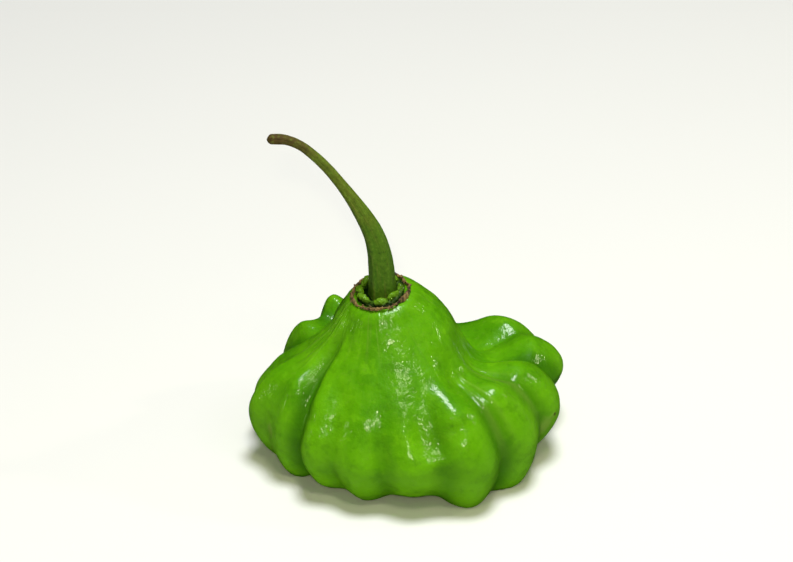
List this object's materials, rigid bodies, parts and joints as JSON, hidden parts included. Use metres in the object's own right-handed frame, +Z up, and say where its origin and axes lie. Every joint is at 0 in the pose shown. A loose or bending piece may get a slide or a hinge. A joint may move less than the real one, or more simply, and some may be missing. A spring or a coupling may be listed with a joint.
{
  "type": "chilli pepper",
  "caption": "Squat green bonnet-shaped chilli pepper with a lobed skirt, a raised cone, a ringed calyx and a thin bent stem, standing on its lobes.",
  "frame": {"origin": "on the surface the pepper stands on, under the centre of its bounding box", "axes": "+Z up through the cone and stem, -Y towards the front, +X to the right as seen from the front"},
  "size_m": [0.053, 0.0456, 0.0572],
  "materials": {
    "fruit_skin": "waxy gloss",
    "calyx_cork": "dry cork",
    "calyx_green": "crumpled, half matt",
    "stem_skin": "matt, finely ribbed"
  },
  "bodies": {
    "root": {"fruit": "fruit_skin", "calyx_rim": "calyx_cork", "calyx_collar": "calyx_green", "stem": "stem_skin"}
  },
  "joints": []
}
